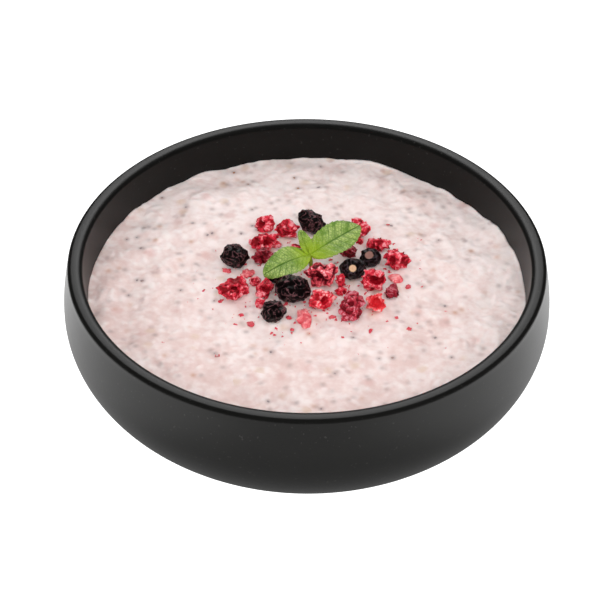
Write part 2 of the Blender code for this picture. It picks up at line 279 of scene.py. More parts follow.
def floor_disc(name, glow):
    bpy.ops.mesh.primitive_circle_add(vertices=FLOOR_SIDES, radius=FLOOR_REACH, fill_type="NGON")
    made = bpy.context.object
    made.name = name
    made.location.z = -FLOOR_DROP
    made.data.materials.append(glowing_white(name, glow))
    return made


floor = floor_disc("floor", FLOOR_GLOW)
floor.visible_diffuse = False
floor.visible_glossy = False
lighting_floor = floor_disc("lighting_floor", FLOOR_LIGHT)
lighting_floor.visible_camera = False
floor_board = Board(lighting_floor.data.materials[0].node_tree)
floor_spot = floor_board.add("ShaderNodeTexCoord", out="Object")
from_middle = floor_board.vector("LENGTH", floor_spot, out=1)
aside = floor_board.step(abs(floor_board.part(floor_spot, 0)), *FLOOR_ASIDE)
behind = floor_board.step(floor_board.part(floor_spot, 1), *FLOOR_BEHIND)
# The lighting floor's glow is dimmed round the dish as a painted shadow of the bowl, dimmed behind the
# dish, and brighter to the sides.
lit = floor_board.step(from_middle, *FLOOR_NEAR) * (0.5 + 0.5 * aside) * (1.0 - behind)
floor_board.tree.links.new(floor_board.blend(lit, DIM, WHITE).socket,
                           floor_board.tree.nodes["Principled BSDF"].inputs["Emission Color"])
back_wall = swept_wall("back_wall", 55.0, 125.0, WALL_GLOW)
view_wall = swept_wall("view_wall", 125.0, 415.0, WALL_GLOW)
light_behind = soft_light("light_behind", (0.0, 0.80, 0.74), 0.50, 7.1)
light_behind.visible_diffuse = False
light_above = soft_light("light_above", (0.06, -0.42, 0.84), 0.86, 2.25)
light_above.visible_glossy = False
world = bpy.data.worlds.new("room")
world.use_nodes = True
world.node_tree.nodes["Background"].inputs["Color"].default_value = (*WHITE, 1.0)
world.node_tree.nodes["Background"].inputs["Strength"].default_value = ROOM_GLOW
bpy.context.scene.world = world


# Bowl: one turned stoneware bowl with a matte black glaze. Its flat lip has a small round on
# each edge, the wall swells gently below it to the belly, and the foot is a low ring.

RIM_RADIUS = 80.0 * MM
BELLY_RADIUS = 82.0 * MM
BELLY_DROP = 17.6 * MM
LOWER_CENTRE = 31.6 * MM
LIP_WIDTH = 5.2 * MM
LIP_OUTER_ROUND = 1.5 * MM
LIP_INNER_ROUND = 1.5 * MM
LIP_INNER_REACH = 2.4 * MM
INNER_BELLY_RADIUS = 73.6 * MM
FLOOR_HEIGHT = 6.5 * MM
FOOT_RADIUS = 45.0 * MM
FOOT_WIDTH = 4.0 * MM
FOOT_HEIGHT = 1.5 * MM
BOWL_HEIGHT = RIM_CENTRE.z
BELLY_HEIGHT = BOWL_HEIGHT - BELLY_DROP
CURVE_STEPS = 36
LIP_STEPS = 10
BOWL_TURNS = 240
POLE_RADIUS = 0.001 * MM
SHARP_EDGE = math.radians(40.0)


def bowl_outline():
    """Radius and height from the middle of the inner floor, over the lip and down under the foot."""
    inner_round = (RIM_RADIUS - LIP_WIDTH + LIP_INNER_REACH, BOWL_HEIGHT - LIP_INNER_ROUND)
    outer_round = (RIM_RADIUS - LIP_OUTER_ROUND, BOWL_HEIGHT - LIP_OUTER_ROUND)
    foot_angle = math.degrees(math.asin((BELLY_HEIGHT - FOOT_HEIGHT) / BELLY_HEIGHT))
    points = [(POLE_RADIUS, FLOOR_HEIGHT)]
    points += arc((LOWER_CENTRE, BELLY_HEIGHT), INNER_BELLY_RADIUS - LOWER_CENTRE,
                  BELLY_HEIGHT - FLOOR_HEIGHT, -90, 0, CURVE_STEPS)
    points += arc(inner_round, LIP_INNER_REACH, LIP_INNER_ROUND, 180, 90, LIP_STEPS)
    points += arc(outer_round, LIP_OUTER_ROUND, LIP_OUTER_ROUND, 90, 0, LIP_STEPS)
    for step in range(1, LIP_STEPS):
        share = step / LIP_STEPS
        flare = (BELLY_RADIUS - RIM_RADIUS) * math.sin(0.5 * math.pi * share)
        drop = LIP_OUTER_ROUND + (BELLY_DROP - LIP_OUTER_ROUND) * share
        points.append((RIM_RADIUS + flare, BOWL_HEIGHT - drop))
    points += arc((LOWER_CENTRE, BELLY_HEIGHT), BELLY_RADIUS - LOWER_CENTRE, BELLY_HEIGHT,
                  0, -foot_angle, CURVE_STEPS)
    points += [(FOOT_RADIUS, 0.0), (FOOT_RADIUS - FOOT_WIDTH, 0.0)]
    points += [(FOOT_RADIUS - FOOT_WIDTH - FOOT_HEIGHT, FOOT_HEIGHT), (POLE_RADIUS, FOOT_HEIGHT)]
    return points


class Recipe(Board):
    """A Geometry Nodes tree with named inputs. It ends in Realize Instances and Set Material."""

    def __init__(self, name, **inputs):
        super().__init__(bpy.data.node_groups.new(name, "GeometryNodeTree"))
        sockets = self.tree.interface
        sockets.new_socket("Geometry", in_out="INPUT", socket_type="NodeSocketGeometry")
        sockets.new_socket("Geometry", in_out="OUTPUT", socket_type="NodeSocketGeometry")
        for label, kind in inputs.items():
            sockets.new_socket(label, in_out="INPUT", socket_type="NodeSocket" + kind)
        sockets.new_socket("finish", in_out="INPUT", socket_type="NodeSocketMaterial")
        self.entry = self.tree.nodes.new("NodeGroupInput")

    def given(self, label):
        return Wire(self, self.entry.outputs[label])

    def noted(self, label, kind):
        """Values that the mesh carries."""
        return self.add("GeometryNodeInputNamedAttribute", {"Name": label}, data_type=kind)

    def note(self, shape, label, value):
        """Write values on the mesh for its finish to read."""
        return self.add("GeometryNodeStoreNamedAttribute", {"Geometry": shape, "Name": label,
                                                            "Value": value}, data_type="FLOAT")

    def close(self, shape):
        """Send a shape out of the tree as one mesh with its finish."""
        whole = self.add("GeometryNodeRealizeInstances", {"Geometry": shape})
        dressed = self.add("GeometryNodeSetMaterial", {"Geometry": whole, "Material": self.given("finish")})
        way_out = self.tree.nodes.new("NodeGroupOutput")
        self.tree.links.new(dressed.socket, way_out.inputs["Geometry"])

    def make(self, name, start, **values):
        """Run the tree on a starting mesh and return the result as a plain mesh object."""
        carrier = linked(name, start)
        modifier = carrier.modifiers.new("recipe", "NODES")
        modifier.node_group = self.tree
        for item in self.tree.interface.items_tree:
            if item.in_out == "INPUT" and item.name in values:
                modifier[item.identifier] = values[item.name]
        return settle(carrier)


def settle(carrier):
    """Make an object's modifiers part of its mesh."""
    ready = carrier.evaluated_get(bpy.context.evaluated_depsgraph_get())
    shape = bpy.data.meshes.new_from_object(ready)
    carrier.modifiers.clear()
    carrier.data = shape
    shape.shade_smooth()
    return carrier


def turned_recipe():
    """Turns an outline, given as a row of points, into a closed round body."""
    recipe = Recipe("turned", turns="Int", stations="Int")
    turns = recipe.given("turns")
    grid = recipe.add("GeometryNodeMeshGrid", {"Size X": 1.0, "Size Y": 1.0,
                                               "Vertices X": recipe.given("stations"),
                                               "Vertices Y": turns + 1.0})
    index = recipe.add("GeometryNodeInputIndex")
    station = recipe.math("FLOOR", (index + 0.5) / (turns + 1.0))
    turn = (index - station * (turns + 1.0)) / turns * (2.0 * math.pi)
    place = recipe.add("GeometryNodeInputPosition")
    point = recipe.add("GeometryNodeSampleIndex", {"Geometry": recipe.given("Geometry"), "Value": place,
                                                   "Index": station}, data_type="FLOAT_VECTOR")
    radius = recipe.part(point, 0)
    spot = recipe.add("ShaderNodeCombineXYZ", {0: radius * recipe.math("COSINE", turn),
                                               1: radius * recipe.math("SINE", turn),
                                               2: recipe.part(point, 2)})
    body = recipe.add("GeometryNodeSetPosition", {"Geometry": grid, "Position": spot})
    recipe.close(recipe.add("GeometryNodeMergeByDistance", {"Geometry": body,
                                                            "Distance": 2.0 * POLE_RADIUS}))
    return recipe


def matte_black_glaze():
    """A dry, nearly black glaze with a slightly uneven sheen and hardly any specks."""
    glaze = Finish("matte_black_glaze", IOR=1.25)
    cloud = glaze.grain(9.0 * MM, detail=3.0)
    fine = glaze.grain(0.5 * MM)
    speck = glaze.step(glaze.grain(0.9 * MM, detail=0.0), 0.76, 0.84)
    black = glaze.blend(cloud, (0.0034, 0.0033, 0.0030), (0.0054, 0.0053, 0.0048))
    glaze.feed("Base Color", glaze.blend(speck * 0.25, black, (0.06, 0.058, 0.055)))
    glaze.feed("Roughness", 0.31 + 0.06 * cloud + 0.04 * fine)
    glaze.relief(fine, 0.04 * MM, 0.3)
    return glaze.material


outline_points = bowl_outline()
outline_mesh = mesh_of("bowl_outline", [(radius, 0.0, height) for radius, height in outline_points])
bowl = turned_recipe().make("glazed_bowl", outline_mesh, turns=BOWL_TURNS, stations=len(outline_points),
                            finish=matte_black_glaze())


def merge_points(mesh, distance):
    """Merge points closer than the distance, and turn every face outwards."""
    bm = bmesh.new()
    bm.from_mesh(mesh)
    bmesh.ops.remove_doubles(bm, verts=bm.verts, dist=distance)
    bmesh.ops.recalc_face_normals(bm, faces=bm.faces)
    bm.to_mesh(mesh)
    bm.free()


merge_points(bowl.data, 2.0 * POLE_RADIUS)
bowl.data.set_sharp_from_angle(angle=SHARP_EDGE)
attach(bowl, "root")
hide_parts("bowl")


# Pudding: thick pink rice pudding, spooned in and left uneven. Soft grains of rice show through
# the cream, syrup lies in the hollows, and the edge climbs the wall a little.

PUDDING_LEVEL = BOWL_HEIGHT - 13.9 * MM
SWELL = 1.2 * MM
SWELL_LENGTH = 26.0 * MM
LUMP = 0.9 * MM
LUMP_LENGTH = 9.0 * MM
PUDDING_RINGS = 158
PUDDING_SIDE_STEPS = 9
WALL_BITE = 0.1 * MM
GRAIN_COUNT = 1500
GRAIN_LENGTHS = (3.0 * MM, 6.4 * MM)
GRAIN_WIDTHS = (2.2 * MM, 3.9 * MM)
GRAIN_HEIGHTS = (0.03 * MM, 0.24 * MM)
FINE_LUMP = 0.11 * MM
FINE_LUMP_LENGTH = 2.6 * MM
EDGE_CLIMB = 1.1 * MM
EDGE_WIDTH = 1.3 * MM
NESTLE = 0.35 * MM


def inner_radius(height):
    """The radius of the bowl's inner wall above its belly."""
    share = (height - BELLY_HEIGHT) / (BOWL_HEIGHT - LIP_INNER_ROUND - BELLY_HEIGHT)
    return INNER_BELLY_RADIUS + share * (RIM_RADIUS - LIP_WIDTH - INNER_BELLY_RADIUS)


def pudding_height(x, y):
    """The spooned top of the thick pudding: a slow swell with smaller lumps on it."""
    swell = noise.noise(Vector((x / SWELL_LENGTH, y / SWELL_LENGTH, 1.7)))
    lump = noise.noise(Vector((x / LUMP_LENGTH, y / LUMP_LENGTH, 5.1)))
    return PUDDING_LEVEL + SWELL * swell + LUMP * lump


def close_by(dx, dy, reach):
    """Which of the places lie within reach, both aside and along."""
    return np.nonzero((np.abs(dx) < reach) & (np.abs(dy) < reach))[0]


def grain_relief(x, y, reach):
    """Height of the rice grains under the cream, at the places x, y."""
    draw = random.Random(11)
    height = np.zeros_like(x)
    for _ in range(GRAIN_COUNT):
        middle_x, middle_y = around(reach * math.sqrt(draw.random()), draw.uniform(0.0, 2.0 * math.pi))
        turn = draw.uniform(0.0, math.pi)
        half_length = 0.5 * draw.uniform(*GRAIN_LENGTHS)
        half_width = 0.5 * draw.uniform(*GRAIN_WIDTHS)
        rise = draw.uniform(*GRAIN_HEIGHTS)
        dx = x - middle_x
        dy = y - middle_y
        near = close_by(dx, dy, 1.2 * half_length)
        along = (dx[near] * math.cos(turn) + dy[near] * math.sin(turn)) / half_length
        aside = (dy[near] * math.cos(turn) - dx[near] * math.sin(turn)) / half_width
        closeness = np.clip(1.0 - along ** 2 - aside ** 2, 0.0, 1.0)
        dome = rise * closeness ** 1.3
        height[near] = np.maximum(height[near], dome) + 0.4 * np.minimum(height[near], dome)
    return height


SEED_COUNT = 360
SEED_HALO = 1.00 * MM
ORANGE_SHARE = 0.13
SEED_GREY = (0.31, 0.205, 0.195)
SEED_ORANGE = (0.55, 0.25, 0.13)
CREAM_ROSE = (0.75, 0.545, 0.510)
CREAM_PALE = (0.915, 0.792, 0.768)

# Fruit stains in the cream: how far apart, the share of spots that show, their strength and colour
STAINS = (
    (9.0 * MM, 0.32, 0.44, (0.68, 0.38, 0.35)),
    (7.4 * MM, 0.24, 0.44, (0.66, 0.45, 0.30)),
    (4.6 * MM, 0.16, 0.40, (0.50, 0.33, 0.33)),
)

draw = random.Random(5)
seed_spots = []
for _ in range(SEED_COUNT):
    radius = (inner_radius(PUDDING_LEVEL) - 1.5 * MM) * math.sqrt(draw.random())
    place = around(radius, draw.uniform(0.0, 2.0 * math.pi))
    shown = 0.12 + 0.88 * draw.random() ** 2.2
    seed_spots.append((*place, shown, draw.random() < ORANGE_SHARE))


def seed_shade(x, y):
    """How dark, and how orange, the cream is over the seeds, at the places x, y."""
    grey, orange = np.zeros_like(x), np.zeros_like(x)
    for seed_x, seed_y, shown, tawny in seed_spots:
        near = close_by(x - seed_x, y - seed_y, 3.0 * SEED_HALO)
        away = ((x[near] - seed_x) ** 2 + (y[near] - seed_y) ** 2) / SEED_HALO ** 2
        tint = orange if tawny else grey
        tint[near] = np.maximum(tint[near], (0.35 + 0.65 * shown) * np.exp(-away))
    return grey, orange


def topping_feet():
    """Where each topping stands: middle x and y, reach and lowest height."""
    feet = []
    for name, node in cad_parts.items():
        if name in ("bowl", "pudding", "mint_sprig"):
            continue
        low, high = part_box(name)
        middle = (low + high) / 2
        feet.append((middle.x, middle.y, 0.25 * (high.x - low.x + high.y - low.y), low.z))
    return feet


def pudding_top():
    """Rings of points over the dish, each with six more points than the ring inside it."""
    edge = inner_radius(PUDDING_LEVEL) + WALL_BITE
    places = [(0.0, 0.0)]
    for ring in range(1, PUDDING_RINGS + 1):
        for step in range(6 * ring):
            places.append(around(edge * ring / PUDDING_RINGS, 2.0 * math.pi * step / (6 * ring)))
    x, y = np.array(places).T
    base = np.array([pudding_height(*place) for place in places])
    fine = np.array([noise.noise(Vector((px, py, 0.0)) / FINE_LUMP_LENGTH) for px, py in places])
    climb = np.array([noise.noise(Vector((px, py, 4.0 * MM)) / LUMP_LENGTH) for px, py in places])
    grains = grain_relief(x, y, edge)
    z = base + grains + FINE_LUMP * fine
    for foot_x, foot_y, reach, lowest in topping_feet():
        closeness = np.exp(-(((x - foot_x) ** 2 + (y - foot_y) ** 2) / reach ** 2) ** 2)
        z += np.maximum(lowest + NESTLE - z, 0.0) * closeness
    inwards = (edge - np.hypot(x, y)) / EDGE_WIDTH
    z += EDGE_CLIMB * np.clip(0.35 + 1.3 * climb, 0.0, 1.0) * np.exp(-inwards)
    tones = {"grain": grains / GRAIN_HEIGHTS[1]}
    tones["grey_seed"], tones["orange_seed"] = seed_shade(x, y)
    return x, y, z, tones


def ring_faces():
    """Triangles between the rings of the pudding's top."""
    faces = []
    inner_start = 0
    outer_start = 1
    for ring in range(PUDDING_RINGS):
        inner_count = max(6 * ring, 1)
        outer_count = 6 * (ring + 1)
        for sector in range(6):
            for step in range(ring + 1):
                a = inner_start + (sector * ring + step) % inner_count
                b = outer_start + (sector * (ring + 1) + step) % outer_count
                c = outer_start + (sector * (ring + 1) + step + 1) % outer_count
                faces.append((a, b, c))
                if step < ring:
                    faces.append((a, c, inner_start + (sector * ring + step + 1) % inner_count))
        inner_start = outer_start
        outer_start += outer_count
    return faces


def pudding_body():
    """The pudding's top closed below by the shape of the bowl's inside."""
    x, y, z, tones = pudding_top()
    corners = list(zip(x, y, z))
    faces = ring_faces()
    count = 6 * PUDDING_RINGS
    upper = len(corners) - count
    side = arc((LOWER_CENTRE, BELLY_HEIGHT), INNER_BELLY_RADIUS - LOWER_CENTRE,
               BELLY_HEIGHT - FLOOR_HEIGHT, 0, -90, PUDDING_SIDE_STEPS)
    for radius, height in side:
        lower = len(corners)
        for step in range(count):
            corners.append((*around(radius, 2.0 * math.pi * step / count), height))
        for step in range(count):
            after = (step + 1) % count
            faces.append((upper + step, lower + step, lower + after, upper + after))
        upper = lower
    corners.append((0.0, 0.0, FLOOR_HEIGHT))
    for step in range(count):
        faces.append((upper + step, len(corners) - 1, upper + (step + 1) % count))
    mesh = mesh_of("rice_pudding", corners, faces)
    for label, values in tones.items():
        note_on(mesh, label, np.concatenate((values, np.zeros(len(corners) - len(values)))))
    return linked("rice_pudding", mesh)


def pink_pudding():
    """Pink cream: pale over the grains, rosier in the hollows, with seeds and fruit showing through, and
    painted lighter where the bowl and the toppings shade it.
    """
    cream = Finish("pink_pudding", IOR=1.36, Subsurface_Weight=0.25, Subsurface_Scale=1.0,
                   Subsurface_Radius=(2.0 * MM, 1.2 * MM, 1.0 * MM))
    broad = cream.grain(17.0 * MM, detail=3.0)
    patch = cream.grain(5.2 * MM, detail=2.0, distortion=0.4)
    fine = cream.grain(1.7 * MM, detail=1.0)
    x = cream.part(cream.place, 0)
    y = cream.part(cream.place, 1)
    radius = cream.math("SQRT", x * x + y * y)
    edge = cream.step(radius, 62.0 * MM, 75.0 * MM)
    left = cream.step(x, -48.0 * MM, -70.0 * MM)
    right = cream.step(x, 30.0 * MM, 70.0 * MM)
    back = cream.step(y, -20.0 * MM, 65.0 * MM)
    middle = 1.0 - cream.step(radius, 24.0 * MM, 44.0 * MM)
    pale = 0.37 + 0.30 * cream.tone("grain")
    pale = pale + 1.05 * (patch - 0.5) + 0.7 * (broad - 0.5) + 0.55 * (fine - 0.5)
    # Painted light: the cream is lighter at the back, on the right, round the middle among the toppings and
    # by the wall, where the bowl and the toppings shade it. It is also darker towards the left wall.
    pale = pale + 0.04 * edge - 0.16 * left + 0.20 * right + 0.28 * back + 0.26 * middle
    colour = cream.blend(cream.step(pale, 0.0, 0.95), CREAM_ROSE, CREAM_PALE)
    drift = cream.noise(cream.place, 1.0 / (2.5 * MM), detail=2.0, out="Color")
    wander = cream.vector("ADD", cream.place, cream.scaled(drift, 1.6 * MM))
    for spacing, share, strength, stain in STAINS:
        spots = cream.add("ShaderNodeTexVoronoi", {"Vector": wander, "Scale": 1.0 / spacing})
        which = cream.add("ShaderNodeTexVoronoi", {"Vector": wander, "Scale": 1.0 / spacing}, "Color")
        picked = cream.math("LESS_THAN", cream.add("ShaderNodeSeparateColor", {0: which}), share)
        spot = 1.0 - cream.step(spots, 0.08, 0.34)
        colour = cream.blend(spot * picked * strength, colour, stain)
    colour = cream.blend(cream.tone("orange_seed") * 0.72, colour, SEED_ORANGE)
    colour = cream.blend(cream.tone("grey_seed") * 0.72, colour, SEED_GREY)
    cream.feed("Base Color", colour)
    cream.feed("Roughness", 0.40 + 0.20 * patch)
    cream.relief(fine + 0.5 * patch, 0.14 * MM, 0.35)
    return cream.material


pudding = pudding_body()
pudding.data.materials.append(pink_pudding())
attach(pudding, "root")
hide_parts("pudding")
pudding_skin = BVHTree.FromPolygons([vert.co for vert in pudding.data.vertices],
                                    [tuple(face.vertices) for face in pudding.data.polygons])


def surface_at(x, y):
    """The height of the pudding's top at x, y."""
    return pudding_skin.ray_cast(Vector((x, y, BOWL_HEIGHT)), Vector((0.0, 0.0, -1.0)))[0].z


# Raspberry crumbs: flat scraps and dust of freeze-dried raspberry, shaken over the pudding around
# the toppings. The large scraps lie where the solids have them, the rest thin out from the middle.

SCRAPS = (
    (-27.2, 9.0, 3.0), (-28.9, -7.4, 1.9), (-21.9, -14.6, 1.8), (-18.6, -18.6, 3.2), (-23.4, -18.8, 1.4),
    (-5.9, -16.4, 2.2), (-4.6, -21.9, 1.6), (8.8, -15.3, 2.0), (34.3, 0.6, 2.3), (29.9, -15.4, 1.5),
    (21.3, -21.6, 1.7), (33.7, -21.2, 1.9), (34.6, 16.2, 1.6), (-6.8, -10.0, 1.8),
)
DUST_COUNT = 480
DUST_MIDDLE = (3.0 * MM, 1.0 * MM)
DUST_SPREAD = (16.5 * MM, 13.0 * MM)
DUST_LENGTHS = (0.30 * MM, 1.45 * MM)
CRUMB_CRUMPLE = 1.9 * MM
PEBBLE_GRAIN = 0.8 * MM
PEBBLE_RELIEF = 0.8


def scatter_recipe():
    """Sets a roughened pebble on every point, stretched and turned as the point says."""
    recipe = Recipe("scattered", rounds="Int", crumple="Float", grain="Float")
    pebble = recipe.add("GeometryNodeMeshIcoSphere", {"Radius": 0.5,
                                                      "Subdivisions": recipe.given("rounds")})
    points = recipe.add("GeometryNodeMeshToPoints", {"Mesh": recipe.given("Geometry")})
    stones = recipe.add("GeometryNodeInstanceOnPoints", {
        "Points": points, "Instance": pebble, "Rotation": recipe.noted("turn", "FLOAT_VECTOR"),
        "Scale": recipe.noted("size", "FLOAT_VECTOR")})
    whole = recipe.add("GeometryNodeRealizeInstances", {"Geometry": stones})
    place = recipe.add("GeometryNodeInputPosition")
    bumps = recipe.noise(place, 1.0 / recipe.given("grain"), out="Color")
    shift = recipe.scaled(recipe.vector("SUBTRACT", bumps, (0.5, 0.5, 0.5)), recipe.given("crumple"))
    moved = recipe.add("GeometryNodeSetPosition", {"Geometry": whole, "Offset": shift})
    recipe.close(recipe.note(moved, "relief", PEBBLE_RELIEF))
    return recipe


def point_cloud(name, rows):
    """A mesh of loose points, each with a size and a turn, from rows of place, size and turn."""
    mesh = mesh_of(name, [row[0] for row in rows])
    for column, label in ((1, "size"), (2, "turn")):
        values = np.array([row[column] for row in rows]).ravel()
        note_on(mesh, label, values, "FLOAT_VECTOR", "vector")
    return mesh


def dried_raspberry(name, body, crest_and_highlight, pit_and_shade, chalk_and_highlight=0.5):
    """Freeze-dried raspberry: its ridges take a pale tone, partly chalk and partly painted highlight, by
    the share chalk_and_highlight, and its pits, creases and hollows take a darker tone, partly the fruit's
    darker red and partly painted shade.
    """
    flesh = Finish(name, IOR=1.31, Subsurface_Weight=0.06, Subsurface_Scale=1.0,
                   Subsurface_Radius=(0.8 * MM, 0.2 * MM, 0.2 * MM))
    patch = flesh.grain(2.6 * MM, detail=3.0)
    fine = flesh.grain(0.35 * MM, detail=2.0)
    height = flesh.tone("relief") + 0.50 * (patch - 0.5) + 0.50 * (fine - 0.5)
    # Painted shade and highlight: low points take the darker pit tone, and high ridges take the pale crest
    # tone.
    colour = flesh.blend(flesh.step(height, 0.16, 0.72), pit_and_shade, body)
    colour = flesh.blend(flesh.step(height, 0.68, 1.02) * chalk_and_highlight, colour, crest_and_highlight)
    flesh.feed("Base Color", colour)
    flesh.feed("Roughness", 0.30 + 0.25 * patch)
    flesh.relief(fine, 0.10 * MM, 0.5)
    return flesh.material


def random_lie(tilt):
    """A random turn about the upright with a little tilt, in radians."""
    return draw.uniform(-tilt, tilt), draw.uniform(-tilt, tilt), draw.uniform(0.0, 6.2)


crumb_rows = []
for scrap in SCRAPS:
    x, y, length = (measure * MM for measure in scrap)
    crumb_rows.append(((x, y, surface_at(x, y) + 0.06 * length),
                       (length, 0.7 * length, 0.36 * length), random_lie(0.3)))
for _ in range(DUST_COUNT):
    x = DUST_MIDDLE[0] + draw.gauss(0.0, DUST_SPREAD[0])
    y = DUST_MIDDLE[1] + draw.gauss(0.0, DUST_SPREAD[1])
    length = DUST_LENGTHS[0] + (DUST_LENGTHS[1] - DUST_LENGTHS[0]) * draw.random() ** 3.0
    lie = random_lie(0.4)
    crumb_rows.append(((x, y, surface_at(x, y) + 0.02 * length),
                       (length, draw.uniform(0.4, 0.9) * length, draw.uniform(0.22, 0.4) * length), lie))
scatter = scatter_recipe()
crumb_red = dried_raspberry("crumb_red", (0.70, 0.055, 0.085), (0.92, 0.32, 0.33), (0.50, 0.02, 0.05))
crumbs = scatter.make("raspberry_crumbs", point_cloud("crumb_points", crumb_rows), rounds=3,
                      crumple=CRUMB_CRUMPLE, grain=PEBBLE_GRAIN, finish=crumb_red)
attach(crumbs, "root")
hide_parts("pudding")


# Chia seeds: small mottled grey-brown seeds stirred into the pudding. Only the backs of those
# nearest the top show, wet and half covered with cream.

SEED_SIZE = (1.6 * MM, 1.1 * MM, 0.8 * MM)
SEED_CRUMPLE = 0.1 * MM
SEED_SHOWN = 0.7


def seed_coat():
    """Mottled seed coat, from dark grey to tawny, veiled by the cream over it."""
    coat = Finish("seed_coat", IOR=1.36, Roughness=0.45)
    mottle = coat.grain(0.4 * MM, detail=1.0)
    kind = coat.grain(9.0 * MM, detail=0.0)
    dark = coat.blend(mottle, (0.21, 0.155, 0.165), (0.44, 0.34, 0.34))
    coat.feed("Base Color", coat.blend(coat.step(kind, 0.60, 0.70), dark, (0.42, 0.20, 0.11)))
    return coat.material


seed_rows = []
for x, y, shown, tawny in seed_spots:
    if shown > SEED_SHOWN and not tawny:
        grown = draw.uniform(0.75, 1.05)
        spot = (x, y, surface_at(x, y) - (0.42 - 0.1 * shown) * SEED_SIZE[2])
        seed_rows.append((spot, tuple(grown * side for side in SEED_SIZE), random_lie(0.3)))
seeds = scatter.make("chia_seeds", point_cloud("seed_points", seed_rows), rounds=2,
                     crumple=SEED_CRUMPLE, grain=PEBBLE_GRAIN, finish=seed_coat())
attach(seeds, "root")
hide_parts("pudding")


# Dark berries: dried whole, with a deeply wrinkled skin, nearly black under a thin purple bloom that is
# partly painted highlight along the ridges.
# The two on the right are rounder and show the tan scar of their stalk, with pleats round it.

SKIN_VOXEL = 0.17 * MM
SKIN_ROUNDS = 6
WRINKLE_LENGTH = 1.7 * MM
WRINKLE_DEPTH = 0.27 * MM
PLEAT_COUNT = 9
SCAR_DEPTH = 0.30 * MM
# Ridge tones: PLUM is partly bloom and partly painted highlight; SLATE, on the scarred berries, is a
# painted bluish-grey sheen.
PLUM = (0.145, 0.055, 0.063)
SLATE = (0.050, 0.032, 0.040)
SKIN_BLACK = (0.0016, 0.0004, 0.0005)

# Azimuth and elevation of the scar in degrees, its radius, the depth of the pleats round it, and
# its dark and light tones
SCARS = {
    "dark_berry_right": (-93.0, 42.0, 1.25 * MM, 0.16 * MM, (0.52, 0.29, 0.16), (0.82, 0.56, 0.36)),
    "dark_berry_far_right": (-118.0, 56.0, 1.5 * MM, 0.12 * MM, (0.23, 0.10, 0.09), (0.34, 0.18, 0.14)),
}


def towards(azimuth, elevation):
    """A unit vector; azimuth 0 is +X and -90 is the front of the dish."""
    turn, rise = math.radians(azimuth), math.radians(elevation)
    return Vector((math.cos(turn) * math.cos(rise), math.sin(turn) * math.cos(rise), math.sin(rise)))


def fine_copy(node_name, name, voxel, rounds):
    """A topping's solid split into a fine even mesh, with its facets rounded off."""
    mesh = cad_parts[node_name].data.copy()
    mesh.materials.clear()
    merge_points(mesh, POLE_RADIUS)
    piece = linked(name, mesh)
    split = piece.modifiers.new("split", "REMESH")
    split.mode = "VOXEL"
    split.voxel_size = voxel
    soften = piece.modifiers.new("soften", "SMOOTH")
    soften.factor = 0.5
    soften.iterations = rounds
    return settle(piece)


# noise_vector differs from run to run where it has no seed
noise.seed_set(4)


def ridge(point, length, shift):
    """1 on a winding ridge, falling to 0 between ridges."""
    scaled = point / length + shift
    bent = scaled + 0.7 * noise.noise_vector(0.6 * scaled)
    return max(0.0, 1.0 - 2.8 * abs(noise.noise(bent))) ** 1.3


def middle_of(mesh):
    return sum((vert.co for vert in mesh.vertices), Vector()) / len(mesh.vertices)


def wrinkle_berry(piece, number, scar):
    """Cut creases into a berry's skin, press in its scar and return the berry's middle."""
    verts = piece.data.vertices
    middle = middle_of(piece.data)
    shift = Vector((3.1, -7.7, 5.3)) * number
    moves, heights = [], []
    for vert in verts:
        long_ridge = ridge(vert.co, WRINKLE_LENGTH, shift)
        short_ridge = ridge(vert.co, 0.45 * WRINKLE_LENGTH, -shift)
        lump = noise.noise(vert.co / (0.9 * WRINKLE_LENGTH) - shift)
        height = 0.30 * lump - 0.40 + 0.70 * long_ridge + 0.36 * short_ridge
        depth = WRINKLE_DEPTH * height
        heights.append(height)
        if scar:
            azimuth, elevation, radius, pleat = scar[:4]
            axis = towards(azimuth, elevation)
            arm = vert.co - middle
            beside = arm - arm.dot(axis) * axis
            aside = axis.cross(Vector((1.0, 0.0, 0.0))).normalized()
            angle = math.atan2(beside.dot(aside), beside.dot(axis.cross(aside)))
            facing = max(arm.dot(axis), 0.0) / max(arm.length, 1e-9)
            distance = beside.length / radius
            ring = math.exp(-((distance - 1.9) / 0.9) ** 2) * facing
            depth = 0.45 * depth + pleat * ring * (0.6 + math.cos(PLEAT_COUNT * angle))
            if facing > 0.5 and distance < 1.2:
                depth -= SCAR_DEPTH * (1.0 - (distance / 1.2) ** 4)
        moves.append(vert.normal * depth)
    for vert, move in zip(verts, moves):
        vert.co += move
    note_on(piece.data, "relief", heights)
    return middle


def berry_skin(name, tone, gloss, seat=None, scar=None):
    """Wrinkled skin: black between the ridges, and along them a thin brown-purple tone that is partly the
    waxy coat and partly painted highlight.
    """
    skin = Finish(name, IOR=1.31)
    patch = skin.grain(2.2 * MM, detail=3.0)
    fine = skin.grain(0.3 * MM, detail=3.0)
    # Painted highlight, partly real bloom: the ridges take the lighter tone.
    bloom_and_highlight = skin.step(skin.tone("relief") + 0.25 * (patch - 0.5), 0.05, 0.55)
    colour = skin.blend(bloom_and_highlight, SKIN_BLACK, tone)
    if scar:
        away = skin.vector("DISTANCE", skin.place, seat, out=1)
        reach = away / scar[2] + 0.35 * (fine - 0.5)
        colour = skin.blend(1.0 - skin.step(reach, 0.85, 1.1), colour, skin.blend(fine, *scar[4:]))
    skin.feed("Base Color", colour)
    skin.feed("Roughness", gloss + 0.30 * patch)
    skin.relief(fine + patch, 0.12 * MM, 0.6)
    return skin.material


